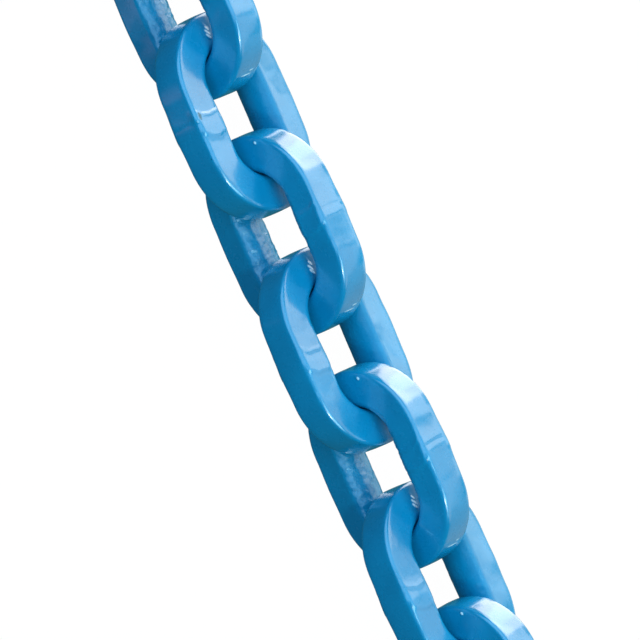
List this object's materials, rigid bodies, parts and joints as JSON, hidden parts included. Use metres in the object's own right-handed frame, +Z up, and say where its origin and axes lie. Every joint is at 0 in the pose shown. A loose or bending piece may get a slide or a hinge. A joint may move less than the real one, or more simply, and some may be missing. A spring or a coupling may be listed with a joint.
{
  "type": "alloy steel chain",
  "caption": "Straight run of blue coated short-link lifting chain, its bar flat outside and round inside, each link swinging on the next.",
  "frame": {"origin": "on the floor below the middle of the chain", "axes": "+X along the chain from the first link to the last, +Y across it, +Z up"},
  "size_m": [1.0398, 0.048, 0.048],
  "materials": {
    "blue_coating": "thick glossy light blue powder coating with a faint orange peel"
  },
  "bodies": {
    "link_01": {"link_01": "blue_coating"},
    "link_02": {"link_02": "blue_coating"},
    "link_03": {"link_03": "blue_coating"},
    "link_04": {"link_04": "blue_coating"},
    "link_05": {"link_05": "blue_coating"},
    "link_06": {"link_06": "blue_coating"},
    "link_07": {"link_07": "blue_coating"},
    "link_08": {"link_08": "blue_coating"},
    "link_09": {"link_09": "blue_coating"},
    "link_10": {"link_10": "blue_coating"},
    "link_11": {"link_11": "blue_coating"},
    "link_12": {"link_12": "blue_coating"},
    "link_13": {"link_13": "blue_coating"},
    "link_14": {"link_14": "blue_coating"},
    "link_15": {"link_15": "blue_coating"},
    "link_16": {"link_16": "blue_coating"},
    "link_17": {"link_17": "blue_coating"},
    "link_18": {"link_18": "blue_coating"},
    "link_19": {"link_19": "blue_coating"},
    "link_20": {"link_20": "blue_coating"},
    "link_21": {"link_21": "blue_coating"}
  },
  "joints": [
    {"name": "swing_01_left", "type": "hinge", "parent": "link_11", "child": "link_10", "pos_m": [-0.03475, 0, 0.024], "axis": [0, 0.7071, -0.7071], "range_deg": [-75, 75]},
    {"name": "swing_01_right", "type": "hinge", "parent": "link_11", "child": "link_12", "pos_m": [0.03475, 0, 0.024], "axis": [0, -0.7071, 0.7071], "range_deg": [-75, 75]},
    {"name": "swing_02_left", "type": "hinge", "parent": "link_10", "child": "link_09", "pos_m": [-0.08275, 0, 0.024], "axis": [0, 0.7071, 0.7071], "range_deg": [-75, 75]},
    {"name": "swing_02_right", "type": "hinge", "parent": "link_12", "child": "link_13", "pos_m": [0.08275, 0, 0.024], "axis": [0, -0.7071, -0.7071], "range_deg": [-75, 75]},
    {"name": "swing_03_left", "type": "hinge", "parent": "link_09", "child": "link_08", "pos_m": [-0.13075, 0, 0.024], "axis": [0, -0.7071, 0.7071], "range_deg": [-75, 75]},
    {"name": "swing_03_right", "type": "hinge", "parent": "link_13", "child": "link_14", "pos_m": [0.13075, 0, 0.024], "axis": [0, 0.7071, -0.7071], "range_deg": [-75, 75]},
    {"name": "swing_04_left", "type": "hinge", "parent": "link_08", "child": "link_07", "pos_m": [-0.17875, 0, 0.024], "axis": [0, -0.7071, -0.7071], "range_deg": [-75, 75]},
    {"name": "swing_04_right", "type": "hinge", "parent": "link_14", "child": "link_15", "pos_m": [0.17875, 0, 0.024], "axis": [0, 0.7071, 0.7071], "range_deg": [-75, 75]},
    {"name": "swing_05_left", "type": "hinge", "parent": "link_07", "child": "link_06", "pos_m": [-0.22675, 0, 0.024], "axis": [0, -0.7071, 0.7071], "range_deg": [-75, 75]},
    {"name": "swing_05_right", "type": "hinge", "parent": "link_15", "child": "link_16", "pos_m": [0.22675, 0, 0.024], "axis": [0, 0.7071, -0.7071], "range_deg": [-75, 75]},
    {"name": "swing_06_left", "type": "hinge", "parent": "link_06", "child": "link_05", "pos_m": [-0.27475, 0, 0.024], "axis": [0, -0.7071, -0.7071], "range_deg": [-75, 75]},
    {"name": "swing_06_right", "type": "hinge", "parent": "link_16", "child": "link_17", "pos_m": [0.27475, 0, 0.024], "axis": [0, 0.7071, 0.7071], "range_deg": [-75, 75]},
    {"name": "swing_07_left", "type": "hinge", "parent": "link_05", "child": "link_04", "pos_m": [-0.32275, 0, 0.024], "axis": [0, 0.7071, -0.7071], "range_deg": [-75, 75]},
    {"name": "swing_07_right", "type": "hinge", "parent": "link_17", "child": "link_18", "pos_m": [0.32275, 0, 0.024], "axis": [0, -0.7071, 0.7071], "range_deg": [-75, 75]},
    {"name": "swing_08_left", "type": "hinge", "parent": "link_04", "child": "link_03", "pos_m": [-0.37075, 0, 0.024], "axis": [0, 0.7071, 0.7071], "range_deg": [-75, 75]},
    {"name": "swing_08_right", "type": "hinge", "parent": "link_18", "child": "link_19", "pos_m": [0.37075, 0, 0.024], "axis": [0, -0.7071, -0.7071], "range_deg": [-75, 75]},
    {"name": "swing_09_left", "type": "hinge", "parent": "link_03", "child": "link_02", "pos_m": [-0.41875, 0, 0.024], "axis": [0, 0.7071, -0.7071], "range_deg": [-75, 75]},
    {"name": "swing_09_right", "type": "hinge", "parent": "link_19", "child": "link_20", "pos_m": [0.41875, 0, 0.024], "axis": [0, -0.7071, 0.7071], "range_deg": [-75, 75]},
    {"name": "swing_10_left", "type": "hinge", "parent": "link_02", "child": "link_01", "pos_m": [-0.46675, 0, 0.024], "axis": [0, 0.7071, 0.7071], "range_deg": [-75, 75]},
    {"name": "swing_10_right", "type": "hinge", "parent": "link_20", "child": "link_21", "pos_m": [0.46675, 0, 0.024], "axis": [0, -0.7071, -0.7071], "range_deg": [-75, 75]}
  ]
}
